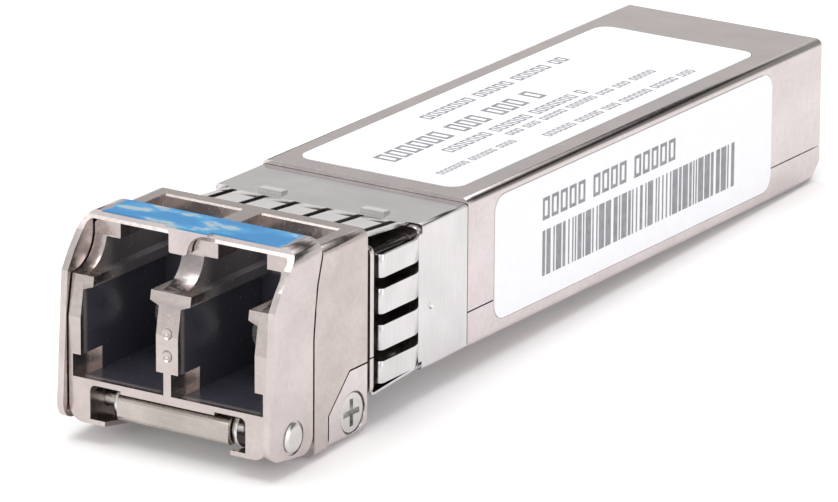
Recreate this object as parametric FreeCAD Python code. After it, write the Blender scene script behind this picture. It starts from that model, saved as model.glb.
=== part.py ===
import FreeCAD, Part
import math
import os

# Pluggable optical transceiver with two LC ports, a swing bail and an under-body latch lever.
# Design frame while modelling: X across, Y from the nose towards the host connector, Z up,
# y = 0 on the nose front, z = 0 on the body underside. write_node() moves every piece into the
# row frame, whose origin is the middle of the bounding box's bottom.

# ---- driving dimensions, mm ----
BODY_HALF_W = 6.7
BODY_HEIGHT = 8.5
BODY_END = 56.5
WALL = 0.6
CORNER_R = 0.4
SHELL_SPLIT = 2.1          # height of the parting line between the two shells
SPLIT_GAP = 0.04

NOSE_HALF_W = 6.8
NOSE_TOP = 9.44
NOSE_BOTTOM = -1.95
NOSE_END = 8.75
NOSE_ARM_HALF_W = 6.33     # the nose is this narrow where the bail arms lie against it
EAR_FRONT = 5.12           # front of the lower shell's ears
EAR_INNER = 5.78
PLATE_TOP = -1.4           # keeper plate under the latch lever

PORT_PITCH = 6.25
PORT_INNER = 0.70
PORT_OUTER = 5.56
PORT_FLOOR = 1.3
PORT_BACK = 7.85
LEDGE_UNDER = 6.12
LEDGE_TIP = 6.33
LEDGE_TOP = 6.87
HOOK_UNDER = 8.5
HOOK_FRONT = 2.45
HOOK_BACK = 4.2
RECESS_HALF_W = 4.97       # lower front recess that holds the cam
RECESS_TOP = 1.0

OPTIC_Z = 3.7
SLEEVE_TIP = 5.3
SLEEVE_R = 1.49
FLANGE_R = 2.1
FERRULE_R = 0.626
FERRULE_DEPTH = 4.0
STUB_R = 1.0
STUB_END = 11.9

ARM_GAP = 0.15             # clearance behind the bail arms
NOSE_UNDERCUT = 10.0       # slope of the nose's underside at the front, degrees
NOSE_CHIN = -1.17          # height of the underside at the very front
ARM_REAR = 3.6             # rear edge of the bail arms low down

BAIL_PIVOT = (1.75, -0.2)  # (y, z)
BAIL_HALF_W = 6.8
BAIL_SHEET = 0.4
BAIL_TOP = 9.95
AXLE_R = 0.40
HEAD_SEAT = 0.08          # depth of the ring round each axle head
WASHER_R = 1.05
CAM_R = 0.74
CAM_CORNER = 0.35
CAM_THROW = 0.56
CAM_HALF_LEN = 3.56

LEVER_PIVOT = (5.95, -0.05)
LEVER_PIN_R = 0.45
LIP_FRONT = 2.3
LIP_TOP = -1.2
LIP_SHEET = 0.3
BOSS_FRONT = 11.5          # latch shoulder
BOSS_DROP = 0.45
BOSS_HALF_W = 1.3

NECK_HALF_W = 6.05         # under the spring fingers
NECK_TOP = 7.6
NECK_BOTTOM = 0.6
COLLAR_FRONT = 13.8        # where the fingers leave the band
COLLAR_END = 18.65
COLLAR_SHEET = 0.2
COLLAR_TOP = 8.25
FINGER_BULGE = 0.3
SLOPED_REAR_OUT = 0.07     # the upper and lower fingers rise from the band to their tips
FINGER_TIP = 9.8
TOP_FINGER_HALF_W = 5.75
LOW_FINGER_HALF_W = 6.35
FLANGE = (9.15, 9.5)       # front flange of the shells, along Y

BOARD_Z = 2.25
BOARD_T = 1.0
BOARD_FRONT = 19.3
BOARD_STEP = 45.2
BOARD_END = 53.3
BOARD_HALF_W = 5.8
TONGUE_HALF_W = 4.6
FLOOR_END = 46.1           # the lower shell's floor stops here for the host connector
RIB_STATIONS = (22.0, 31.0, 40.0)

SCREW_POS = (7.36, -0.39)  # (y, z) of the side screws
SCREW_HEAD_R = 1.08
SCREW_RING = 0.12          # gap round the screw head
EAR_GAP = 0.10

LABEL_T = 0.08
LABEL_SINK = 0.05
LABEL_CORNER = 0.95
TOP_LABEL = (-5.35, 5.15, 19.95, 51.75)   # x0, x1, y0, y1
SIDE_LABEL = (21.35, 50.85, 0.85, 7.9)      # y0, y1, z0, z1

FRONT_REACH = -0.45        # front edge of the bail arms
ORIGIN = FreeCAD.Vector(0, (FRONT_REACH + BODY_END) / 2, NOSE_BOTTOM)

FAR = 40.0                 # long enough to cut past any face


# ---- shape helpers ----
def vec(x, y, z):
    return FreeCAD.Vector(x, y, z)


def box(x0, x1, y0, y1, z0, z1):
    return Part.makeBox(x1 - x0, y1 - y0, z1 - z0, vec(x0, y0, z0))


def cylinder(centre, radius, length, direction):
    return Part.makeCylinder(radius, length, centre, direction)


def rod_x(y, z, radius, x0, x1):
    return cylinder(vec(x0, y, z), radius, x1 - x0, vec(1, 0, 0))


def rod_y(x, z, radius, y0, y1):
    return cylinder(vec(x, y0, z), radius, y1 - y0, vec(0, 1, 0))


def rod_z(x, y, radius, z0, z1):
    return cylinder(vec(x, y, z0), radius, z1 - z0, vec(0, 0, 1))


def outline(path, place):
    """Closed face. A path entry is a point (line to it) or two points (arc through, to)."""
    steps = path[1:]
    if steps[-1][-2:] != path[0]:
        steps = steps + [path[0]]
    edges = []
    here = path[0]
    for step in steps:
        end = step[-2:]
        if len(step) == 4:
            curve = Part.Arc(place(*here), place(*step[:2]), place(*end))
        else:
            curve = Part.LineSegment(place(*here), place(*end))
        edges.append(curve.toShape())
        here = end
    return Part.Face(Part.Wire(edges))


def prism_x(path, x0, x1):
    return outline(path, lambda y, z: vec(x0, y, z)).extrude(vec(x1 - x0, 0, 0))


def prism_y(path, y0, y1):
    return outline(path, lambda x, z: vec(x, y0, z)).extrude(vec(0, y1 - y0, 0))


def prism_z(path, z0, z1):
    return outline(path, lambda x, y: vec(x, y, z0)).extrude(vec(0, 0, z1 - z0))


def mirrored(shape):
    return shape.mirror(vec(0, 0, 0), vec(1, 0, 0))


def both(shape):
    return [shape, mirrored(shape)]


def join(shapes):
    result = shapes[0]
    if len(shapes) > 1:
        result = shapes[0].multiFuse(shapes[1:])
    return result.removeSplitter()


def cut(shape, tools):
    return shape.cut(Part.makeCompound(tools)) if tools else shape


def round_edges(shape, radius, along):
    """Rounds the straight edges that run along one axis ('x', 'y' or 'z')."""
    index = "xyz".index(along)
    chosen = []
    for edge in shape.Edges:
        ends = [vertex.Point for vertex in edge.Vertexes]
        if len(ends) == 2:
            run = ends[1] - ends[0]
            if abs(run[index]) > 0.99 * run.Length:
                chosen.append(edge)
    return shape.makeFillet(radius, chosen)


def bar(half_w, y0, y1, z0, z1, radius):
    """A bar along Y with rounded long edges."""
    return round_edges(box(-half_w, half_w, y0, y1, z0, z1), radius, "y")


def pad(x, y, length_x, length_y, z0, z1):
    """A small block centred on (x, y)."""
    return box(x - length_x / 2, x + length_x / 2, y - length_y / 2, y + length_y / 2, z0, z1)


def write_node(name, shape):
    moved = shape.copy()
    moved.translate(vec(0, 0, 0) - ORIGIN)
    moved.exportStep("parts/%s.step" % name)


# ---- outer shells ----
def shell_outer():
    """Outside of the closed shells, from the front flange to the host end."""
    return join([
        bar(NECK_HALF_W, NOSE_END, COLLAR_FRONT + 0.3, NECK_BOTTOM, NECK_TOP, 0.3),
        bar(BODY_HALF_W, FLANGE[0], FLANGE[1], 0.05, COLLAR_TOP, 0.4),
        bar(BODY_HALF_W - COLLAR_SHEET, COLLAR_FRONT + 0.2, COLLAR_END + 0.1, 0.25,
            COLLAR_TOP - COLLAR_SHEET, 0.35),
        bar(BODY_HALF_W, COLLAR_END + 0.05, BODY_END, 0, BODY_HEIGHT, CORNER_R),
    ])


def shell_cavity():
    front_half = NECK_HALF_W - 0.45
    return [
        box(-front_half, front_half, NOSE_END - 1, 19.2, 0.95, NECK_TOP - 0.4),
        box(-BODY_HALF_W + WALL, BODY_HALF_W - WALL, 19.2, BODY_END + 1, WALL, BODY_HEIGHT - WALL),
    ]


def label_recesses():
    """Shallow seats, 0.05 mm larger all round than the labels."""
    x0, x1, y0, y1 = TOP_LABEL
    top = box(x0 - 0.05, x1 + 0.05, y0 - 0.05, y1 + 0.05, BODY_HEIGHT - LABEL_SINK, BODY_HEIGHT + 1)
    y0, y1, z0, z1 = SIDE_LABEL
    side = box(BODY_HALF_W - LABEL_SINK, BODY_HALF_W + 1, y0 - 0.05, y1 + 0.05, z0 - 0.05, z1 + 0.05)
    return [round_edges(top, LABEL_CORNER + 0.05, "z"), round_edges(side, LABEL_CORNER + 0.05, "x")]


def rear_chamfers():
    corner = 1.2
    bottom = prism_x([(BODY_END - corner, -1), (BODY_END + 1, -1), (BODY_END + 1, corner + 1),
                      (BODY_END - corner, 0)], -FAR, FAR)
    return [bottom]


def upper_shell():
    shape = shell_outer().common(box(-FAR, FAR, 0, 2 * FAR, SHELL_SPLIT + SPLIT_GAP, FAR))
    shape = cut(shape, shell_cavity() + label_recesses())
    pedestal = pad(-2.6, 27.0, 5.0, 5.0, 5.1, BODY_HEIGHT - WALL + 0.1)
    ribs = []
    for y in RIB_STATIONS:
        ribs += both(box(5.25, BODY_HALF_W - WALL + 0.1, y, y + 1.2, BOARD_Z + BOARD_T,
                         BODY_HEIGHT - WALL + 0.1))
    return join([shape, pedestal] + ribs)


def lower_shell():
    shape = shell_outer().common(box(-FAR, FAR, 0, 2 * FAR, -FAR, SHELL_SPLIT - SPLIT_GAP))
    shape = cut(shape, shell_cavity() + label_recesses() + rear_chamfers())
    opening = box(-6.0, 6.0, FLOOR_END, BODY_END + 1, -1, SHELL_SPLIT + 1)
    shape = cut(shape, [opening])

    ear_profile = [(EAR_FRONT, NOSE_BOTTOM), (EAR_FRONT, 0.04), (7.09, 1.98), (NOSE_END, 1.98),
                   (NOSE_END, NOSE_BOTTOM)]
    block = prism_x(ear_profile, -NOSE_HALF_W, NOSE_HALF_W)
    block = block.common(bar(NOSE_HALF_W, 0, NOSE_END, NOSE_BOTTOM, NOSE_TOP, 0.8))
    block = cut(block, [box(-EAR_INNER, EAR_INNER, 0, 8.2, PLATE_TOP, FAR),
                        box(-EAR_INNER, EAR_INNER, 0, FAR, 0.97, FAR)])
    bridge = both(box(EAR_INNER, NECK_HALF_W, 8.2, 9.4, 0.5, 1.98))
    sill = box(-NECK_HALF_W, NECK_HALF_W, 8.2, 9.4, 0.4, 0.95)

    web = box(-2.0, 2.0, 9.0, 15.3, 0.6, 1.6)
    slot = box(-1.6, 1.6, 8.0, 14.9, -3, 1.3)
    slot_front = box(-1.6, 1.6, 8.0, 9.1, PLATE_TOP, 2.0)
    ledges = []
    for y in RIB_STATIONS:
        ledges += both(box(5.0, BODY_HALF_W - WALL + 0.1, y, y + 1.2, WALL - 0.1, 2.06))
    shape = join([shape, block, sill, web] + bridge + ledges)

    screw_y, screw_z = SCREW_POS
    holes = both(rod_x(screw_y, screw_z, SCREW_HEAD_R + SCREW_RING, 6.3, FAR))
    holes += both(rod_x(screw_y, screw_z, 0.62, 5.0, FAR))
    return cut(shape, [slot, slot_front] + holes)


# ---- nose ----
def port_profile():
    """Section of one port, right side, seen from the front."""
    stem = PORT_INNER
    wall = PORT_OUTER
    return [(stem, PORT_FLOOR), (wall, PORT_FLOOR), (wall, LEDGE_UNDER), (4.95, LEDGE_TIP),
            (4.95, LEDGE_TOP), (wall, LEDGE_TOP), (wall, HOOK_UNDER), (stem, HOOK_UNDER),
            (stem, LEDGE_TOP), (1.28, LEDGE_TOP), (1.28, LEDGE_TIP), (stem, LEDGE_UNDER)]


def nose_block():
    side = [(0, -FAR), (0, LEDGE_TOP), (0.45, LEDGE_TOP), (1.83, 7.38, HOOK_FRONT, HOOK_UNDER + 0.1),
            (HOOK_FRONT, NOSE_TOP), (NOSE_END, NOSE_TOP), (NOSE_END, -FAR)]
    split = ARM_REAR + ARM_GAP
    rear = bar(NOSE_HALF_W, split, NOSE_END, NOSE_BOTTOM, NOSE_TOP, 0.5)
    front = bar(NOSE_ARM_HALF_W, -1, split + 2, NOSE_CHIN, FAR, 0.9)
    front.rotate(vec(0, 0, NOSE_CHIN), vec(1, 0, 0), -NOSE_UNDERCUT)
    front = front.common(box(-FAR, FAR, -1, split, -FAR, NOSE_TOP))
    return join([front, rear]).common(prism_x(side, -FAR, FAR))


def arm_clearance():
    """Room at one side for the bail arm, following its rear edge."""
    gap = ARM_GAP
    path = [(-1, -3), (ARM_REAR + gap, -3), (ARM_REAR + gap, 4.7), (3.76 + gap, 6.15), (3.96 + gap, 7.58),
            (4.21 + gap, 8.41), (4.46 + gap, 9.23), (4.6 + gap, 10.5), (-1, 10.5)]
    side_room = prism_x(path, NOSE_ARM_HALF_W, FAR)
    corner = prism_y([(NOSE_ARM_HALF_W - 0.3, NOSE_TOP), (NOSE_ARM_HALF_W, NOSE_TOP - 0.3),
                      (NOSE_ARM_HALF_W, NOSE_TOP)], -1, 4.7)
    return join([side_room, corner])


def pocket_rim():
    """Thin sill that closes the pocket beside the cam from below."""
    back = 2.2
    thick = 0.26
    rear_low = NOSE_CHIN - back * math.tan(math.radians(NOSE_UNDERCUT))
    return prism_x([(0, NOSE_CHIN), (back, rear_low), (back, rear_low + thick), (0, NOSE_CHIN + thick)],
                   4.02, RECESS_HALF_W + 0.3)


def nose_housing():
    port = prism_y(port_profile(), -1, PORT_BACK)
    slot = box(1.575, 4.675, -1, HOOK_BACK, HOOK_UNDER - 0.1, FAR)
    window = box(0.6, 5.6, HOOK_BACK, PORT_BACK, HOOK_UNDER - 0.1, FAR)
    bevel = prism_x([(PORT_BACK - 0.1, NOSE_TOP - 0.2), (PORT_BACK + 0.2, NOSE_TOP + 0.1),
                     (PORT_BACK - 0.1, NOSE_TOP + 0.1)], 0.6, 5.6)
    notch_inner = box(0.24, PORT_INNER + 0.1, -1, 2.0, PORT_FLOOR, 2.54)
    notch_outer = box(PORT_OUTER - 0.1, 6.08, -1, 2.0, PORT_FLOOR, 2.54)
    sleeve_hole = rod_y(PORT_PITCH / 2, OPTIC_Z, SLEEVE_R + 0.1, PORT_BACK - 1, NOSE_END + 1)
    ear_edge = EAR_FRONT - EAR_GAP
    ear_room = prism_x([(ear_edge, -3), (ear_edge, 0.06), (7.05, 1.98 + EAR_GAP),
                        (FAR, 1.98 + EAR_GAP), (FAR, -3)], EAR_INNER - 0.05, FAR)
    axle_hole = rod_x(BAIL_PIVOT[0], BAIL_PIVOT[1], AXLE_R + 0.05, RECESS_HALF_W - 0.1, FAR)
    pin_hole = rod_x(LEVER_PIVOT[0], LEVER_PIVOT[1], LEVER_PIN_R, RECESS_HALF_W - 0.1, 5.6)
    thread_hole = rod_x(SCREW_POS[0], SCREW_POS[1], 0.5, RECESS_HALF_W - 0.1, FAR)
    one_side = [port, slot, window, bevel, notch_inner, notch_outer, sleeve_hole, ear_room,
                arm_clearance(), axle_hole, pin_hole, thread_hole]

    recess = round_edges(box(-RECESS_HALF_W, RECESS_HALF_W, -1, NOSE_END + 1, -4, RECESS_TOP),
                         0.35, "y")
    under = box(-EAR_INNER + 0.05, EAR_INNER - 0.05, EAR_FRONT - 0.04, FAR, -4, PLATE_TOP + 0.05)
    tongue_end = box(-FAR, FAR, 8.15, FAR, -4, RECESS_TOP)
    dimples = [Part.makeSphere(0.38, vec(0, -0.17, z)) for z in (3.5, 4.75, 5.7)]

    shape = nose_block()
    for tool in one_side:
        shape = cut(shape, both(tool))
    shape = cut(shape, [recess, under, tongue_end] + dimples)

    lip = box(-3.0, 3.0, 0.0, 0.5, 0.82, RECESS_TOP + 0.1)
    tenon = box(-5.55, 5.55, NOSE_END - 0.1, 11.2, 2.3, NECK_TOP - 0.45)
    tenon = cut(tenon, [box(-5.3, 5.3, NOSE_END, FAR, 2.0, 6.85)] + both(sleeve_hole))
    return join([shape, lip, tenon] + both(pocket_rim()))


# ---- bail and cam ----
def bail_side_profile():
    """Arm and strip seen from the side."""
    return [(2.35, BAIL_TOP + 1), (2.19, 9.65), (1.44, 8.97), (0.64, 8.0), (0.04, 7.04),
            (-0.1, 5.2), (FRONT_REACH, 0.0), (FRONT_REACH, -0.25), (-0.186, -0.886, 0.34, -1.143),
            (2.6, -1.42), (3.33, -1.12, ARM_REAR, -0.4), (ARM_REAR, 4.7), (3.76, 6.15), (3.96, 7.58),
            (4.21, 8.41), (4.46, 9.23), (4.6, 9.85), (4.6, BAIL_TOP + 1)]


def bail_handle():
    outer = bar(BAIL_HALF_W, -2, 7, -4, BAIL_TOP, 0.9)
    inner = bar(BAIL_HALF_W - BAIL_SHEET, -3, 8, -6, BAIL_TOP - BAIL_SHEET - 0.05, 0.3)
    bent_sheet = cut(outer, [inner])
    shape = bent_sheet.common(prism_x(bail_side_profile(), -FAR, FAR))
    shape = shape.common(box(-FAR, FAR, -FAR, FAR, -2.5, FAR))
    tab = prism_y([(-1.45, BAIL_TOP), (-1.25, 9.7, -1.2, 9.4), (-1.2, 8.62), (-1.165, 8.535, -1.08, 8.5),
                   (-0.3, 8.5), (-0.1, 8.58, -0.02, 8.78), (0.3, 9.4, 1.25, 9.75),
                   (1.35, BAIL_TOP)], 1.9, 2.35)
    y, z = BAIL_PIVOT
    holes = both(rod_x(y, z, AXLE_R, BAIL_HALF_W - 1, FAR))
    head_seats = both(rod_x(y, z, 0.95, BAIL_HALF_W - HEAD_SEAT, FAR))
    return cut(join([shape, tab]), holes + head_seats)


def bail_axle():
    y, z = BAIL_PIVOT
    shaft = rod_x(y, z, AXLE_R, -BAIL_HALF_W, BAIL_HALF_W)
    head = join([rod_x(y, z, 0.82, BAIL_HALF_W - HEAD_SEAT, BAIL_HALF_W + 0.02),
                 Part.makeCone(0.82, 0.64, 0.12, vec(BAIL_HALF_W + 0.02, y, z), vec(1, 0, 0))])
    return join([shaft] + both(head))


def cam_barrel():
    y, z = BAIL_PIVOT
    lobe_y = y - CAM_THROW
    front = lobe_y - CAM_R
    inset = CAM_CORNER * (1 - math.sqrt(0.5))
    path = [(y, z + CAM_R), (front + CAM_CORNER, z + CAM_R),
            (front + inset, z + CAM_R - inset, front, z + CAM_R - CAM_CORNER),
            (front, z - CAM_R + CAM_CORNER),
            (front + inset, z - CAM_R + inset, front + CAM_CORNER, z - CAM_R),
            (y, z - CAM_R), (y + CAM_R, z, y, z + CAM_R)]
    return cut(prism_x(path, -CAM_HALF_LEN, CAM_HALF_LEN), [rod_x(y, z, AXLE_R, -FAR, FAR)])


def axle_washers():
    y, z = BAIL_PIVOT
    ring = rod_x(y, z, WASHER_R, 3.62, 3.94)
    ring = cut(ring, [rod_x(y, z, AXLE_R, 3, 5)])
    return Part.makeCompound(both(ring))


# ---- latch lever ----
def latch_lever():
    py, pz = LEVER_PIVOT
    lip = prism_x([(LIP_FRONT, LIP_TOP - LIP_SHEET), (LIP_FRONT, LIP_TOP), (4.5, LIP_TOP), (5.3, -0.3),
                   (py, -0.6), (5.5, -0.85), (4.6, LIP_TOP - LIP_SHEET)], -3.4, 3.4)
    hub = rod_x(py, pz, 0.85, -4.6, 4.6)
    arm = prism_x([(py, -0.5), (7.3, -0.15), (8.0, 0.06), (14.3, 0.06), (14.3, 0.45), (py, 0.7)],
                  -BOSS_HALF_W, BOSS_HALF_W)
    boss = prism_x([(BOSS_FRONT, 0.2), (BOSS_FRONT, -BOSS_DROP), (13.45, -BOSS_DROP), (14.1, 0.2)],
                   -BOSS_HALF_W, BOSS_HALF_W)
    plan = prism_z([(-BOSS_HALF_W, BOSS_FRONT), (BOSS_HALF_W, BOSS_FRONT), (BOSS_HALF_W, 12.3),
                    (0.45, 14.1), (-0.45, 14.1), (-BOSS_HALF_W, 12.3)], -1, 1)
    bore = rod_x(py, pz, LEVER_PIN_R + 0.05, -FAR, FAR)
    return cut(join([lip, hub, arm, boss.common(plan)]), [bore])


def lever_pin():
    return rod_x(LEVER_PIVOT[0], LEVER_PIVOT[1], LEVER_PIN_R, -5.6, 5.6)


def latch_spring():
    """Bent leaf between the lever arm and the web above it."""
    path = [(9.4, 1.29), (9.4, 1.19), (11.0, 1.19), (13.6, 0.5), (14.0, 0.5), (14.0, 0.6),
            (13.65, 0.6), (11.1, 1.29)]
    return prism_x(path, -0.7, 0.7)


# ---- spring-finger collar ----
def finger_profile(base, grow, rear_out):
    """Section of a spring finger as (y, height); it stands out by rear_out behind, then fully."""
    sheet = 0.15
    front_out = FINGER_BULGE
    tip = FINGER_TIP
    root = COLLAR_FRONT
    return [(root + 0.7, base), (root + 0.05, base),
            (root - 0.45, base + grow * rear_out * 0.8, root - 0.8, base + grow * rear_out),
            (tip + 0.28, base + grow * front_out),
            (tip + 0.08, base + grow * (front_out - 0.08), tip, base + grow * (front_out - 0.28)),
            (tip, base - grow * 0.42), (tip + sheet, base - grow * 0.42),
            (tip + sheet, base + grow * (front_out - 0.28)),
            (tip + 0.19, base + grow * (front_out - sheet - 0.03),
             tip + 0.29, base + grow * (front_out - sheet)),
            (root - 0.85, base + grow * (rear_out - sheet)),
            (root - 0.52, base + grow * (rear_out * 0.8 - sheet), root, base - grow * sheet),
            (root + 0.7, base - grow * sheet)]


def side_finger_path(profile):
    """Turns (y, x) entries into (x, y) entries for prism_z."""
    flipped = []
    for step in profile:
        if len(step) == 4:
            flipped.append((step[1], step[0], step[3], step[2]))
        else:
            flipped.append((step[1], step[0]))
    return flipped


def spread(first, pitch, count):
    return [first + pitch * i for i in range(count)]


def emi_collar():
    band = cut(bar(BODY_HALF_W, COLLAR_FRONT + 0.4, COLLAR_END, 0.05, COLLAR_TOP, 0.22),
               [bar(BODY_HALF_W - COLLAR_SHEET, 0, FAR, 0.25, COLLAR_TOP - COLLAR_SHEET, 0.35)])
    side = prism_z(side_finger_path(finger_profile(BODY_HALF_W, 1, FINGER_BULGE)), 0.56, 7.72)
    gaps = [box(5, FAR, 0, COLLAR_FRONT, z, z + 0.62) for z in (1.79, 3.81, 5.83)]
    tiny_hole = prism_x([(13.1, 0.62), (13.9, 0.62), (13.5, 1.05)], 5, FAR)
    side = cut(side, gaps + [tiny_hole])

    top = prism_x(finger_profile(COLLAR_TOP, 1, SLOPED_REAR_OUT), -TOP_FINGER_HALF_W, TOP_FINGER_HALF_W)
    top_gaps = [box(x - 0.22, x + 0.22, 0, COLLAR_FRONT, 5, FAR) for x in spread(-5.125, 2.05, 6)]
    bottom = prism_x(finger_profile(0.05, -1, SLOPED_REAR_OUT), -LOW_FINGER_HALF_W, LOW_FINGER_HALF_W)
    bottom_gaps = [box(x - 0.22, x + 0.22, 0, COLLAR_FRONT, -FAR, 3) for x in (-4.1, 4.1)]
    lever_room = box(-2.05, 2.05, 0, 15.2, -FAR, 1)
    lug_profile = [(14.4, COLLAR_TOP - 0.1), (14.4, COLLAR_TOP + 0.16), (15.05, COLLAR_TOP + 0.11),
                   (15.05, COLLAR_TOP - 0.1)]
    lugs = [prism_x(lug_profile, x - 0.75, x + 0.75) for x in (-3.3, 3.3)]
    dimple = Part.makeSphere(0.35, vec(BODY_HALF_W + 0.26, 15.04, 3.5))
    pieces = [band, cut(top, top_gaps), cut(bottom, bottom_gaps)] + both(side) + lugs
    return cut(join(pieces), [lever_room] + both(dimple))


# ---- fasteners ----
def side_screw():
    y, z = SCREW_POS
    tip = 4.99
    shank = rod_x(y, z, 0.5, tip, 6.4)
    head = Part.makeCone(0.7, SCREW_HEAD_R, 0.4, vec(6.32, y, z), vec(1, 0, 0))
    face_x = 6.72
    reach = 0.76
    half_arm = 0.16
    arms = [box(face_x - 0.3, face_x + 1, y - reach, y + reach, z - half_arm, z + half_arm),
            box(face_x - 0.3, face_x + 1, y - half_arm, y + half_arm, z - reach, z + reach)]
    return cut(join([shank, head]), arms)


# ---- optics ----
def optics_holder():
    """Cradle open at the top; the sleeves drop in and their flanges lock in a groove."""
    block = box(-5.15, 5.15, NOSE_END + 0.1, 11.2, 1.65, 5.9)
    cuts = []
    for x in (-PORT_PITCH / 2, PORT_PITCH / 2):
        for radius, front, back in ((SLEEVE_R + 0.03, 8, 12), (FLANGE_R + 0.03, 9.7, 10.55)):
            cuts.append(rod_y(x, OPTIC_Z, radius, front, back))
            cuts.append(box(x - radius, x + radius, front, back, OPTIC_Z, FAR))
    return cut(block, cuts)


def port_sleeve(x):
    tube = rod_y(x, OPTIC_Z, SLEEVE_R, SLEEVE_TIP, 11.3)
    tip_edges = [edge for edge in tube.Edges if abs(edge.BoundBox.YMax - SLEEVE_TIP) < 0.01]
    tube = tube.makeChamfer(0.15, tip_edges)
    flange = rod_y(x, OPTIC_Z, FLANGE_R, 9.75, 10.5)
    body = rod_y(x, OPTIC_Z, 2.35, 11.3, 13.4)
    shape = join([tube, flange, body])
    bore = rod_y(x, OPTIC_Z, FERRULE_R, SLEEVE_TIP - 1, SLEEVE_TIP + FERRULE_DEPTH)
    stub_seat = rod_y(x, OPTIC_Z, STUB_R, SLEEVE_TIP + FERRULE_DEPTH, STUB_END)
    can_seat = rod_y(x, OPTIC_Z, 1.6, STUB_END, 13.5)
    return cut(shape, [bore, stub_seat, can_seat])


def fibre_stub(x):
    return rod_y(x, OPTIC_Z, STUB_R, SLEEVE_TIP + FERRULE_DEPTH, STUB_END)


def optics_can(x):
    cap = rod_y(x, OPTIC_Z, 1.55, 11.95, 13.45)
    header = rod_y(x, OPTIC_Z, 2.35, 13.42, 14.5)
    pins = [rod_y(x + 0.9 * math.cos(a), OPTIC_Z + 0.9 * math.sin(a), 0.2, 14.4, 16.4)
            for a in spread(math.pi / 4, math.pi / 2, 4)]
    return join([cap, header] + pins)


def optics_flex(x):
    """Flexible circuit from the can's pins down to the board's front edge."""
    top = BOARD_Z + BOARD_T
    path = [(15.4, 5.4), (15.4, top + 0.65), (15.58, top + 0.19, 16.05, top), (21.4, top),
            (21.4, top + 0.14), (16.05, top + 0.14), (15.68, top + 0.29, 15.54, top + 0.65), (15.54, 5.4)]
    shape = prism_x(path, x - 1.9, x + 1.9)
    holes = [rod_y(x + 0.9 * math.cos(a), OPTIC_Z + 0.9 * math.sin(a), 0.22, 14.4, 16.5)
             for a in spread(math.pi / 4, math.pi / 2, 4)]
    return cut(shape, holes)


# ---- board and its parts ----
def circuit_board():
    path = [(-BOARD_HALF_W, BOARD_FRONT), (BOARD_HALF_W, BOARD_FRONT), (BOARD_HALF_W, BOARD_STEP),
            (TONGUE_HALF_W, BOARD_STEP), (TONGUE_HALF_W, BOARD_END), (-TONGUE_HALF_W, BOARD_END),
            (-TONGUE_HALF_W, BOARD_STEP), (-BOARD_HALF_W, BOARD_STEP)]
    shape = prism_z(path, BOARD_Z, BOARD_Z + BOARD_T)
    bevels = []
    for face_z, inward in ((BOARD_Z, 1), (BOARD_Z + BOARD_T, -1)):
        outside = face_z - inward * 0.01
        bevels.append(prism_x([(BOARD_END - 0.3, outside), (BOARD_END + 1, outside),
                               (BOARD_END + 1, face_z + inward * 1.3)], -FAR, FAR))
    return cut(shape, bevels)


def edge_contacts(z):
    """Ten plated pads at 0.8 mm pitch; every third one reaches further back."""
    pads = []
    for index, x in enumerate(spread(-3.6, 0.8, 10)):
        front = 49.3 if index % 3 == 0 else 49.8
        pads.append(box(x - 0.27, x + 0.27, front, 52.8, z, z + 0.04))
    return Part.makeCompound(pads)


def chip(x, y, size_x, size_y, height):
    z = BOARD_Z + BOARD_T
    body = round_edges(pad(x, y, size_x, size_y, z, z + height), 0.12, "z")
    mark = rod_z(x - size_x / 2 + 0.5, y - size_y / 2 + 0.5, 0.2, z + height - 0.05, z + height + 1)
    return cut(body, [mark])


def passives(places, size_x, size_y, height, z):
    return Part.makeCompound([pad(x, y, size_x, size_y, z, z + height) for x, y in places])


def board_parts():
    top = BOARD_Z + BOARD_T
    nodes = {
        "laser_driver_chip": chip(-2.6, 27.0, 4.0, 4.0, 0.9),
        "receiver_amplifier_chip": chip(2.9, 25.2, 3.0, 3.0, 0.85),
        "controller_chip": chip(0.0, 37.2, 5.0, 5.0, 0.9),
        "memory_chip": chip(3.4, 31.6, 2.0, 3.0, 0.75),
        "clock_oscillator": chip(-3.9, 33.4, 2.5, 2.0, 0.7),
    }
    capacitor_places = [(x, 22.4) for x in (-4.4, -3.0, -1.6, 0.6, 4.6)]
    capacitor_places += [(x, 30.4) for x in (-4.4, -2.9, -1.4, 0.2)]
    capacitor_places += [(x, 43.4) for x in (-3.6, -2.2, 0.4, 1.8, 3.6)]
    resistor_places = [(x, 45.9) for x in spread(-3.6, 0.8, 10)]
    resistor_places += [(x, 28.4) for x in (1.6, 2.5, 3.4, 4.3)]
    inductor_places = [(4.2, 36.0), (4.2, 38.8), (-4.3, 36.6), (-4.3, 39.4)]
    nodes["capacitors"] = passives(capacitor_places, 1.0, 0.55, 0.55, top)
    nodes["resistors"] = passives(resistor_places, 0.4, 0.9, 0.3, top)
    nodes["power_inductors"] = passives(inductor_places, 1.6, 2.0, 1.0, top)
    nodes["thermal_pad"] = pad(-2.6, 27.0, 3.8, 3.8, top + 0.9, 5.1)
    return nodes


# ---- labels and absorber ----
def top_label():
    x0, x1, y0, y1 = TOP_LABEL
    base = BODY_HEIGHT - LABEL_SINK
    return round_edges(box(x0, x1, y0, y1, base, base + LABEL_T), LABEL_CORNER, "z")


def side_label():
    y0, y1, z0, z1 = SIDE_LABEL
    base = BODY_HALF_W - LABEL_SINK
    return round_edges(box(base, base + LABEL_T, y0, y1, z0, z1), LABEL_CORNER, "x")


def absorber_sheet():
    z = BODY_HEIGHT - WALL
    return box(-4.6, 4.6, 31.0 + 1.4, 44.0, z - 0.5, z)


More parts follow.
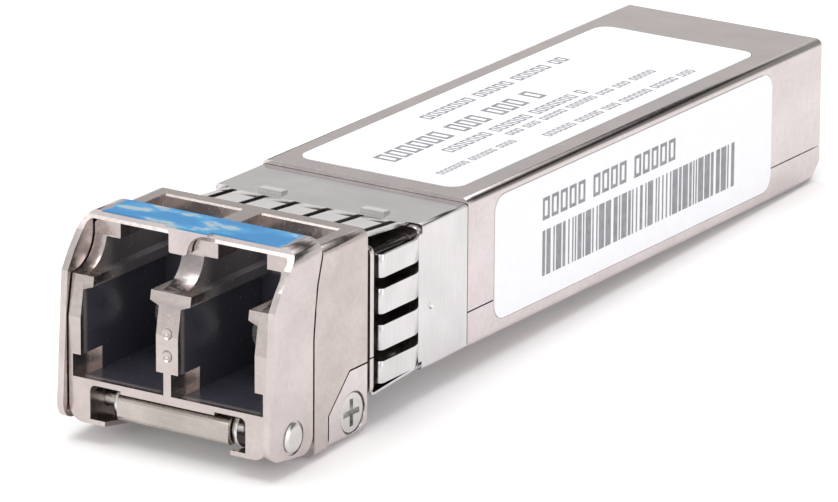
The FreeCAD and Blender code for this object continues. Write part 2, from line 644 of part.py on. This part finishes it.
def build():
    right = PORT_PITCH / 2
    nodes = {
        "nose_housing": nose_housing(),
        "upper_shell": upper_shell(),
        "lower_shell": lower_shell(),
        "emi_collar": emi_collar(),
        "bail_handle": bail_handle(),
        "bail_axle": bail_axle(),
        "cam_barrel": cam_barrel(),
        "axle_washers": axle_washers(),
        "latch_lever": latch_lever(),
        "lever_pin": lever_pin(),
        "latch_spring": latch_spring(),
        "side_screws": Part.makeCompound(both(side_screw())),
        "optics_holder": optics_holder(),
        "transmit_port_sleeve": port_sleeve(-right),
        "receive_port_sleeve": port_sleeve(right),
        "transmit_fibre_stub": fibre_stub(-right),
        "receive_fibre_stub": fibre_stub(right),
        "transmit_laser_can": optics_can(-right),
        "receive_detector_can": optics_can(right),
        "transmit_flex": optics_flex(-right),
        "receive_flex": optics_flex(right),
        "circuit_board": circuit_board(),
        "edge_contacts_top": edge_contacts(BOARD_Z + BOARD_T),
        "edge_contacts_bottom": edge_contacts(BOARD_Z - 0.04),
        "absorber_sheet": absorber_sheet(),
        "top_label": top_label(),
        "side_label": side_label(),
    }
    nodes.update(board_parts())
    return nodes


os.makedirs("parts", exist_ok=True)
for node_name, node_shape in build().items():
    write_node(node_name, node_shape)
    print(node_name, len(node_shape.Solids), node_shape.isValid(), round(node_shape.Volume, 3))
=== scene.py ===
import math
import random

import bmesh
import bpy
from mathutils import Euler, Matrix, Vector


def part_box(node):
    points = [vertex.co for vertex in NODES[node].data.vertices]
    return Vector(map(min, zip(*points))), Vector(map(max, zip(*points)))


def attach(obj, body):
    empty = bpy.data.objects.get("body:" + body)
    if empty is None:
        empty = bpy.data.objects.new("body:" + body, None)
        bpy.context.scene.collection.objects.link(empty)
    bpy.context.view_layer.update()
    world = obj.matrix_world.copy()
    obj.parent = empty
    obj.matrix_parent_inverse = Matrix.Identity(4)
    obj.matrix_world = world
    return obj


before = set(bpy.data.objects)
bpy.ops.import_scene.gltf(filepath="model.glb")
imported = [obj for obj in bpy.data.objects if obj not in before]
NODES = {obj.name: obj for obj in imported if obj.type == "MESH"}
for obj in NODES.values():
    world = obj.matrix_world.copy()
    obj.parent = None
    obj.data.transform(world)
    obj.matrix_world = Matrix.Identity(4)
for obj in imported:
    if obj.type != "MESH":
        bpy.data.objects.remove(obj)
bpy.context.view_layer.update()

MM = 0.001
SCENE = bpy.context.scene
SCENE.view_settings.view_transform = "Standard"

# Places are read from the CAD boxes, in metres.
EAR_DROP = 1.95 * MM        # the ears reach this far below the body's flat underside
NOSE_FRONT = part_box("nose_housing")[0].y
NOSE_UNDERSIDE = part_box("nose_housing")[0].z
SHELL_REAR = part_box("upper_shell")[1].y
BODY_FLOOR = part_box("lower_shell")[0].z + EAR_DROP
BAIL_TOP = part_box("bail_handle")[1].z
TOP_LABEL_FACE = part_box("top_label")[1].z
SIDE_LABEL_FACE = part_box("side_label")[1].x

# The camera, from the nose's front at the height of the body's underside.
CAMERA_PLACE = Vector((210.66, -300.22, 125.94)) * MM
CAMERA_ANGLES = (33.0, 17.64, 0.38)     # yaw, pitch and roll, in degrees
CAMERA_LENS = 316.9                     # mm, on a sensor 36 mm wide

# The module stands on the nose's underside and on its rear lower edge.
NOSE_HEEL = 8.6 * MM        # behind the nose's front
REAR_HEEL = 1.2 * MM        # ahead of the shell's rear end
FLOOR_GAP = 0.02 * MM
FLOOR_HALF = 3.0

# Stretches in mm over which painted shade or the blue enamel comes in: along from the nose's front,
# heights from the body's underside, and distances across from the middle.
NECK_STARTS = (9.45, 9.60)
NECK_ENDS = (13.9, 14.1)
SHELL_STARTS = (18.7, 19.4)
TOP_CORNER_HEIGHT = (8.10, 8.28)
TOP_CORNER_ACROSS = (6.38, 6.56)
PORT_DARKENS = (0.12, 0.7)
PORT_ROOF_DARKENS = (1.2, 3.4)
PORT_ROOF = (6.2, 6.5)
PORT_HALF_W = 5.6
PORT_FLOOR = 1.25
PORT_TOP = 8.45
PORT_BACK = 8.3
STEM_TOP = 2.56
STEM_HALF_W = 0.69
STRIP_ENDS = (5.55, 5.85)
STRIP_DEPTH = (-0.10, -0.03)        # from the top of the bail

# Sockets of the colour mix node.
MIX_FACTOR = 0
MIX_FIRST = 6
MIX_SECOND = 7
MIX_RESULT = 2

# Lettering, as shares of a letter's width.
LETTER_STROKE = 0.22
LETTER_WIDTH = 0.78
WORD_SPACE = 0.7
INK_THICKNESS = 0.008               # mm
BAR_UNIT = 0.14                     # mm


# ---- camera ----
def look_rotation(yaw, pitch, roll):
    """Camera rotation for a heading from +Y towards -X, a downward pitch and a roll, in degrees."""
    yaw, pitch, roll = (math.radians(angle) for angle in (yaw, pitch, roll))
    forward = Vector((-math.sin(yaw) * math.cos(pitch), math.cos(yaw) * math.cos(pitch), -math.sin(pitch)))
    right = forward.cross(Vector((0, 0, 1))).normalized()
    up = right.cross(forward)
    right_rolled = right * math.cos(roll) + up * math.sin(roll)
    up_rolled = -right * math.sin(roll) + up * math.cos(roll)
    return Matrix((right_rolled, up_rolled, -forward)).transposed()


def add_camera():
    data = bpy.data.cameras.new("camera")
    data.sensor_width = 36.0
    data.lens = CAMERA_LENS
    data.clip_start = 0.01
    data.clip_end = 20.0
    camera = bpy.data.objects.new("camera", data)
    SCENE.collection.objects.link(camera)
    place = Matrix.Translation(Vector((0, NOSE_FRONT, BODY_FLOOR)) + CAMERA_PLACE)
    camera.matrix_world = place @ look_rotation(*CAMERA_ANGLES).to_4x4()
    SCENE.camera = camera


# ---- floor and light ----
def add_floor():
    """A wide plane that touches the nose's underside and the shell's rear lower edge."""
    front = Vector((0, NOSE_FRONT + NOSE_HEEL, NOSE_UNDERSIDE))
    back = Vector((0, SHELL_REAR - REAR_HEEL, BODY_FLOOR))
    tilt = math.atan2(back.z - front.z, back.y - front.y)
    mesh = bpy.data.meshes.new("floor")
    half = FLOOR_HALF
    corners = [(-half, -half, 0), (half, -half, 0), (half, half, 0), (-half, half, 0)]
    mesh.from_pydata(corners, [], [(0, 1, 2, 3)])
    floor = bpy.data.objects.new("floor", mesh)
    floor.location = front - Vector((0, 0, FLOOR_GAP))
    floor.rotation_euler = Euler((tilt, 0, 0))
    SCENE.collection.objects.link(floor)
    material, shader, links = new_material("floor_paper")
    shader.inputs["Base Color"].default_value = (0.80, 0.785, 0.79, 1)
    shader.inputs["Emission Color"].default_value = (1, 0.98, 0.985, 1)
    shader.inputs["Emission Strength"].default_value = 0.10
    shader.inputs["Roughness"].default_value = 0.55
    mesh.materials.append(material)


def area_light(name, location, target, size, power, tint=(1, 1, 1)):
    data = bpy.data.lights.new(name, "AREA")
    data.shape = "RECTANGLE"
    data.size, data.size_y = size
    data.energy = power
    data.color = tint
    lamp = bpy.data.objects.new(name, data)
    lamp.location = location
    aim = Vector(target) - Vector(location)
    lamp.rotation_euler = aim.to_track_quat("-Z", "Y").to_euler()
    SCENE.collection.objects.link(lamp)


def add_world():
    """A white room whose far wall is grey at the foot and nearly black higher up."""
    world = bpy.data.worlds.new("studio")
    world.use_nodes = True
    tree = world.node_tree
    direction = tree.nodes.new("ShaderNodeTexCoord")
    split = tree.nodes.new("ShaderNodeSeparateXYZ")
    tree.links.new(direction.outputs["Generated"], split.inputs[0])
    height = tree.nodes.new("ShaderNodeValToRGB")
    stops = ((0.0, 1.0), (0.22, 0.92), (0.31, 0.80), (0.41, 0.07), (0.62, 0.05), (0.80, 1.0))
    elements = height.color_ramp.elements
    while len(elements) < len(stops):
        elements.new(0.5)
    for element, (position, grey) in zip(elements, stops):
        element.position = position
        element.color = (grey, grey * 0.985, grey * 0.97, 1)
    tree.links.new(split.outputs["Z"], height.inputs["Fac"])
    behind = tree.nodes.new("ShaderNodeMapRange")
    behind.inputs["From Min"].default_value = 0.15
    behind.inputs["From Max"].default_value = 0.45
    tree.links.new(split.outputs["Y"], behind.inputs["Value"])
    wall = tree.nodes.new("ShaderNodeMix")
    wall.data_type = "RGBA"
    tree.links.new(behind.outputs["Result"], wall.inputs[MIX_FACTOR])
    wall.inputs[MIX_FIRST].default_value = (1, 1, 1, 1)
    tree.links.new(height.outputs["Color"], wall.inputs[MIX_SECOND])
    background = tree.nodes["Background"]
    tree.links.new(wall.outputs[MIX_RESULT], background.inputs["Color"])
    background.inputs["Strength"].default_value = 0.98
    SCENE.world = world


def add_lights():
    centre = (0, 0, 0.004)
    area_light("overhead", (-0.05, 0.00, 0.50), centre, (0.5, 0.5), 2.2)
    area_light("right_panel", (0.55, -0.05, 0.14), centre, (0.35, 0.30), 0.5)
    area_light("front_panel", (0.10, -0.55, 0.20), (0, -0.02, 0.004), (0.30, 0.25), 0.3)


# ---- material tools ----
def new_material(name):
    material = bpy.data.materials.new(name)
    material.use_nodes = True
    return material, material.node_tree.nodes["Principled BSDF"], material.node_tree.links


def node(material, kind, **values):
    made = material.node_tree.nodes.new(kind)
    for key, value in values.items():
        setattr(made, key, value)
    return made


def coordinates(material, scale=(1, 1, 1)):
    """Object coordinates in millimetres, stretched by scale."""
    where = node(material, "ShaderNodeTexCoord")
    mapping = node(material, "ShaderNodeMapping")
    mapping.inputs["Scale"].default_value = [1000 * s for s in scale]
    material.node_tree.links.new(where.outputs["Object"], mapping.inputs["Vector"])
    return mapping.outputs["Vector"]


def noise(material, scale, detail=3.0, stretch=(1, 1, 1), roughness=0.5):
    made = node(material, "ShaderNodeTexNoise")
    made.inputs["Scale"].default_value = scale
    made.inputs["Detail"].default_value = detail
    made.inputs["Roughness"].default_value = roughness
    material.node_tree.links.new(coordinates(material, stretch), made.inputs["Vector"])
    return made.outputs["Fac"]


def ramp(material, source, stops):
    """A colour ramp: stops are (position, grey or colour)."""
    made = node(material, "ShaderNodeValToRGB")
    elements = made.color_ramp.elements
    while len(elements) < len(stops):
        elements.new(0.5)
    for element, (position, colour) in zip(elements, stops):
        element.position = position
        if isinstance(colour, (int, float)):
            colour = (colour, colour, colour)
        element.color = (*colour, 1)
    material.node_tree.links.new(source, made.inputs["Fac"])
    return made.outputs["Color"]


def mix(material, factor, first, second, blend="MIX"):
    made = node(material, "ShaderNodeMix", data_type="RGBA", blend_type=blend)
    links = material.node_tree.links
    for socket, value in ((MIX_FACTOR, factor), (MIX_FIRST, first), (MIX_SECOND, second)):
        if isinstance(value, bpy.types.NodeSocket):
            links.new(value, made.inputs[socket])
        else:
            made.inputs[socket].default_value = value if socket == MIX_FACTOR else (*value, 1)
    return made.outputs[MIX_RESULT]


def maths(material, operation, first, second=0.0):
    made = node(material, "ShaderNodeMath", operation=operation)
    for socket, value in enumerate((first, second)):
        if isinstance(value, bpy.types.NodeSocket):
            material.node_tree.links.new(value, made.inputs[socket])
        else:
            made.inputs[socket].default_value = value
    return made.outputs[0]


def axis_value(material, axis):
    """One object coordinate in millimetres."""
    split = node(material, "ShaderNodeSeparateXYZ")
    material.node_tree.links.new(coordinates(material), split.inputs[0])
    return split.outputs["XYZ".index(axis)]


def module_place(material):
    """How far along, how high and how far across a point lies, in millimetres."""
    along = maths(material, "SUBTRACT", axis_value(material, "Y"), NOSE_FRONT / MM)
    height = maths(material, "SUBTRACT", axis_value(material, "Z"), BODY_FLOOR / MM)
    across = maths(material, "ABSOLUTE", axis_value(material, "X"))
    return along, height, across


def step_up(material, value, start, end):
    """0 below start, 1 above end, smooth between."""
    made = node(material, "ShaderNodeMapRange", interpolation_type="SMOOTHSTEP")
    made.inputs["From Min"].default_value = start
    made.inputs["From Max"].default_value = end
    material.node_tree.links.new(value, made.inputs["Value"])
    return made.outputs["Result"]


def bump(material, shader, height, strength, distance):
    made = node(material, "ShaderNodeBump")
    made.inputs["Strength"].default_value = strength
    made.inputs["Distance"].default_value = distance * MM
    links = material.node_tree.links
    links.new(height, made.inputs["Height"])
    links.new(made.outputs["Normal"], shader.inputs["Normal"])


# ---- materials ----
def metal(name, dark, light, rough_low, rough_high, grain=(1, 1, 1), grain_scale=3.0, texture=0.25):
    """Plated or bare metal: cloudy tint, uneven roughness and a fine surface texture."""
    material, shader, links = new_material(name)
    shader.inputs["Metallic"].default_value = 1.0
    clouds = noise(material, 0.35, 4.0)
    fine = noise(material, grain_scale, 5.0, grain, 0.65)
    tint = ramp(material, clouds, [(0.3, dark), (0.7, light)])
    speckle = ramp(material, fine, [(0.35, 0.90), (0.62, 1.0)])
    links.new(mix(material, 1.0, tint, speckle, "MULTIPLY"), shader.inputs["Base Color"])
    links.new(ramp(material, fine, [(0.3, rough_low), (0.75, rough_high)]), shader.inputs["Roughness"])
    bump(material, shader, fine, texture, 0.012)
    return material, shader


def cast_nickel():
    """Satin nickel shell with painted shade: a dark neck under the fingers and a dark line along its top
    corners.
    """
    material, shader = metal("cast_nickel", (0.60, 0.545, 0.535), (0.67, 0.615, 0.605), 0.17, 0.27)
    links = material.node_tree.links
    along, height, across = module_place(material)
    # Painted shade: the neck in the shadow under the collar fingers is mixed towards dark grey.
    neck = maths(material, "MULTIPLY", step_up(material, along, *NECK_STARTS),
                 maths(material, "SUBTRACT", 1.0, step_up(material, along, *NECK_ENDS)))
    # Painted shade: a near-black line along the rounded top corners behind the collar, where the edge is
    # shaded.
    corner = maths(material, "MULTIPLY", step_up(material, height, *TOP_CORNER_HEIGHT),
                   step_up(material, across, *TOP_CORNER_ACROSS))
    behind_collar = maths(material, "MULTIPLY", step_up(material, along, *SHELL_STARTS), 0.72)
    painted_corner_shade = maths(material, "MULTIPLY", corner, behind_collar)
    colour = shader.inputs["Base Color"].links[0].from_socket
    # Mixes the painted corner shade into the base colour.
    colour = mix(material, painted_corner_shade, colour, (0.05, 0.045, 0.04))
    links.new(mix(material, neck, colour, (0.15, 0.14, 0.135)), shader.inputs["Base Color"])
    return material


def nose_nickel():
    """Cast nickel with painted shade: its port cavities go nearly black and non-metallic behind the mouth.
    """
    material, shader = metal("nose_nickel", (0.49, 0.43, 0.41), (0.58, 0.52, 0.50), 0.18, 0.30)
    links = material.node_tree.links
    depth, height, across = module_place(material)
    # Painted shade in the ports: the lower cavity darkens just behind the mouth, the upper cavity further
    # in.
    low = maths(material, "SUBTRACT", 1.0, step_up(material, height, *PORT_ROOF))
    deep = maths(material, "MULTIPLY", low, step_up(material, depth, *PORT_DARKENS))
    high = maths(material, "MULTIPLY", step_up(material, depth, *PORT_ROOF_DARKENS), 0.85)
    painted_port_shade = maths(material, "MAXIMUM", deep, high)
    stem = maths(material, "MULTIPLY", maths(material, "LESS_THAN", height, STEM_TOP),
                 maths(material, "LESS_THAN", across, STEM_HALF_W))
    for limit in (maths(material, "LESS_THAN", across, PORT_HALF_W),
                  maths(material, "GREATER_THAN", height, PORT_FLOOR),
                  maths(material, "LESS_THAN", height, PORT_TOP),
                  maths(material, "LESS_THAN", depth, PORT_BACK),
                  maths(material, "SUBTRACT", 1.0, stem)):
        painted_port_shade = maths(material, "MULTIPLY", painted_port_shade, limit)
    colour = shader.inputs["Base Color"].links[0].from_socket
    links.new(mix(material, painted_port_shade, colour, (0.045, 0.043, 0.057)), shader.inputs["Base Color"])
    links.new(maths(material, "SUBTRACT", 1.0, painted_port_shade), shader.inputs["Metallic"])
    return material


def bail_metal():
    """Satin nickel with worn blue enamel on the top strip, whose pale grey-blue patches are a painted
    reflection.
    """
    material, shader = metal("bail_metal", (0.52, 0.465, 0.45), (0.62, 0.565, 0.55), 0.17, 0.28)
    links = material.node_tree.links
    wobble = noise(material, 1.1, 4.0)
    edge = maths(material, "MULTIPLY", maths(material, "SUBTRACT", wobble, 0.5), 0.9)
    across = maths(material, "ADD", maths(material, "ABSOLUTE", axis_value(material, "X")), edge)
    height = maths(material, "SUBTRACT", axis_value(material, "Z"), BAIL_TOP / MM)
    on_strip = maths(material, "MULTIPLY", step_up(material, height, *STRIP_DEPTH),
                     maths(material, "SUBTRACT", 1.0, step_up(material, across, *STRIP_ENDS)))
    # Blue enamel whose tone varies at random; its palest grey-blue patches are painted reflection.
    blue_enamel_and_painted_sheen = ramp(material, noise(material, 0.40, 3.0, (1.0, 2.0, 1.0)),
                   [(0.46, (0.008, 0.16, 0.38)), (0.58, (0.025, 0.23, 0.46)), (0.63, (0.26, 0.34, 0.38))])
    colour = shader.inputs["Base Color"].links[0].from_socket
    links.new(mix(material, on_strip, colour, blue_enamel_and_painted_sheen), shader.inputs["Base Color"])
    links.new(maths(material, "SUBTRACT", 1.0, on_strip), shader.inputs["Metallic"])
    shader.inputs["Specular IOR Level"].default_value = 0.22
    return material


def plain(name, colour, rough, variation=0.15, metallic=0.0, scale=2.0, texture=0.1):
    """A non-patterned finish that still has cloudy colour, uneven gloss and a fine texture."""
    material, shader, links = new_material(name)
    shader.inputs["Metallic"].default_value = metallic
    fine = noise(material, scale, 5.0)
    low = tuple(c * (1 - variation) for c in colour)
    links.new(ramp(material, fine, [(0.35, low), (0.65, colour)]), shader.inputs["Base Color"])
    links.new(ramp(material, fine, [(0.3, rough * 0.85), (0.7, min(1.0, rough * 1.15))]),
              shader.inputs["Roughness"])
    bump(material, shader, fine, texture, 0.01)
    return material


def assign_materials():
    nickel = cast_nickel()
    stainless = metal("bright_stainless", (0.60, 0.59, 0.59), (0.70, 0.685, 0.685), 0.10, 0.24,
                      grain=(0.3, 6, 0.3), grain_scale=1.5, texture=0.12)[0]
    turned = metal("turned_steel", (0.60, 0.59, 0.57), (0.70, 0.69, 0.67), 0.18, 0.32)[0]
    gold = metal("gold_plate", (0.85, 0.58, 0.20), (0.95, 0.70, 0.30), 0.16, 0.30)[0]
    chip = plain("moulded_resin", (0.028, 0.028, 0.030), 0.55, 0.3)
    label = plain("label_film", (0.79, 0.79, 0.82), 0.42, 0.03, scale=1.2, texture=0.08)
    flex = plain("flex_film", (0.50, 0.22, 0.05), 0.30)
    zirconia = plain("zirconia", (0.85, 0.85, 0.80), 0.15, 0.05)
    table = {
        "nose_housing": nose_nickel(),
        "upper_shell": nickel,
        "lower_shell": nickel,
        "emi_collar": stainless,
        "bail_handle": bail_metal(),
        "bail_axle": turned,
        "axle_washers": stainless,
        "cam_barrel": metal("cam_nickel", (0.40, 0.365, 0.33), (0.54, 0.50, 0.46), 0.2, 0.34,
                            grain=(0.2, 3, 3))[0],
        "latch_lever": turned,
        "lever_pin": turned,
        "latch_spring": stainless,
        "side_screws": turned,
        "optics_holder": plain("black_moulding", (0.02, 0.02, 0.022), 0.5),
        "transmit_port_sleeve": turned,
        "receive_port_sleeve": turned,
        "transmit_fibre_stub": zirconia,
        "receive_fibre_stub": zirconia,
        "transmit_laser_can": turned,
        "receive_detector_can": turned,
        "transmit_flex": flex,
        "receive_flex": flex,
        "circuit_board": plain("board_laminate", (0.02, 0.16, 0.06), 0.35, 0.25),
        "edge_contacts_top": gold,
        "edge_contacts_bottom": gold,
        "laser_driver_chip": chip,
        "receiver_amplifier_chip": chip,
        "controller_chip": chip,
        "memory_chip": chip,
        "clock_oscillator": turned,
        "capacitors": plain("capacitor_ceramic", (0.42, 0.31, 0.20), 0.45),
        "resistors": plain("resistor_ceramic", (0.03, 0.03, 0.035), 0.4),
        "power_inductors": plain("ferrite", (0.06, 0.06, 0.065), 0.6),
        "thermal_pad": plain("thermal_gel", (0.36, 0.42, 0.50), 0.7),
        "absorber_sheet": plain("absorber_rubber", (0.05, 0.05, 0.055), 0.8),
        "top_label": label,
        "side_label": label,
    }
    for name, material in table.items():
        mesh = NODES[name].data
        mesh.materials.clear()
        mesh.materials.append(material)


# ---- softened edges on the CAD pieces ----
def soften(name, width, segments=2, angle=32):
    """Joins the split corners and rounds the sharp edges, with hardened normals."""
    piece = NODES[name]
    weld = piece.modifiers.new("weld", "WELD")
    weld.merge_threshold = 0.0005 * MM
    bevel = piece.modifiers.new("round_edges", "BEVEL")
    bevel.width = width * MM
    bevel.segments = segments
    bevel.limit_method = "ANGLE"
    bevel.angle_limit = math.radians(angle)
    bevel.harden_normals = True
    bevel.miter_outer = "MITER_ARC"


def soften_all():
    widths = {"nose_housing": 0.09, "upper_shell": 0.06, "lower_shell": 0.06, "bail_handle": 0.07,
              "cam_barrel": 0.08, "axle_washers": 0.04, "bail_axle": 0.05, "side_screws": 0.03,
              "latch_lever": 0.05, "emi_collar": 0.02}
    for name, width in widths.items():
        soften(name, width)


# ---- printed marks on the labels ----
def printed(name, rectangles, place, body, ink):
    """Thin ink patches. Each rectangle is (along, across, length, width) in mm on the label."""
    mesh = bpy.data.meshes.new(name)
    build = bmesh.new()
    for along, across, length, width in rectangles:
        corners = [(along, across), (along + length, across), (along + length, across + width),
                   (along, across + width)]
        low = [build.verts.new(place(a, b, 0.0)) for a, b in corners]
        high = [build.verts.new(place(a, b, INK_THICKNESS)) for a, b in corners]
        build.faces.new(high)
        build.faces.new(low[::-1])
        for i in range(4):
            j = (i + 1) % 4
            build.faces.new((low[i], low[j], high[j], high[i]))
    bmesh.ops.recalc_face_normals(build, faces=build.faces)
    build.to_mesh(mesh)
    build.free()
    piece = bpy.data.objects.new(name, mesh)
    SCENE.collection.objects.link(piece)
    mesh.materials.append(ink)
    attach(piece, body)


def word_row(rng, start, end, across, height, letter):
    """A row of blank words: every letter is the same empty box."""
    blocks = []
    at = start
    while at < end - letter:
        for _ in range(rng.randint(3, 7)):
            if at + letter > end:
                break
            stroke = letter * LETTER_STROKE
            inner = letter * LETTER_WIDTH - stroke * 2
            blocks.append((at, across, stroke, height))
            blocks.append((at + stroke + inner, across, stroke, height))
            blocks.append((at + stroke, across, inner, stroke))
            blocks.append((at + stroke, across + height - stroke, inner, stroke))
            at += letter
        at += letter * WORD_SPACE
    return blocks


def bar_row(rng, start, end, across, height):
    """A row of plain bars of uneven width."""
    bars = []
    at = start
    while at < end:
        width = rng.choice((1, 1, 2, 3, 4)) * BAR_UNIT
        bars.append((at, across, min(width, end - at), height))
        at += width + rng.choice((1, 1, 2)) * BAR_UNIT
    return bars


def add_label_print():
    rng = random.Random(7)
    ink = plain("label_ink", (0.27, 0.27, 0.29), 0.5, 0.3)

    def on_side(along, height, lift):
        return (SIDE_LABEL_FACE + lift * MM, NOSE_FRONT + along * MM, BODY_FLOOR + height * MM)

    printed("side_label_bars", bar_row(rng, 26.2, 46.7, 2.15, 2.6), on_side, "module_body", ink)
    printed("side_label_line", word_row(rng, 26.2, 41.2, 5.35, 1.28, 0.92), on_side, "module_body", ink)

    def on_top(along, across, lift):
        return (across * MM, NOSE_FRONT + along * MM, TOP_LABEL_FACE + lift * MM)

    printed("top_label_heading", word_row(rng, 22.1, 38.0, -1.75, 1.5, 1.05), on_top, "module_body", ink)
    rows = []
    for across, height, letter, first, last in (
            (-3.9, 0.85, 0.70, 30.0, 45.0), (0.55, 0.80, 0.62, 25.4, 40.0), (1.75, 0.55, 0.48, 30.0, 46.0),
            (2.65, 0.50, 0.42, 21.6, 29.5), (3.55, 0.60, 0.50, 31.0, 47.0)):
        rows += word_row(rng, first, last, across, height, letter)
    printed("top_label_rows", rows, on_top, "module_body", ink)


add_camera()
add_floor()
add_world()
add_lights()
assign_materials()
soften_all()
add_label_print()
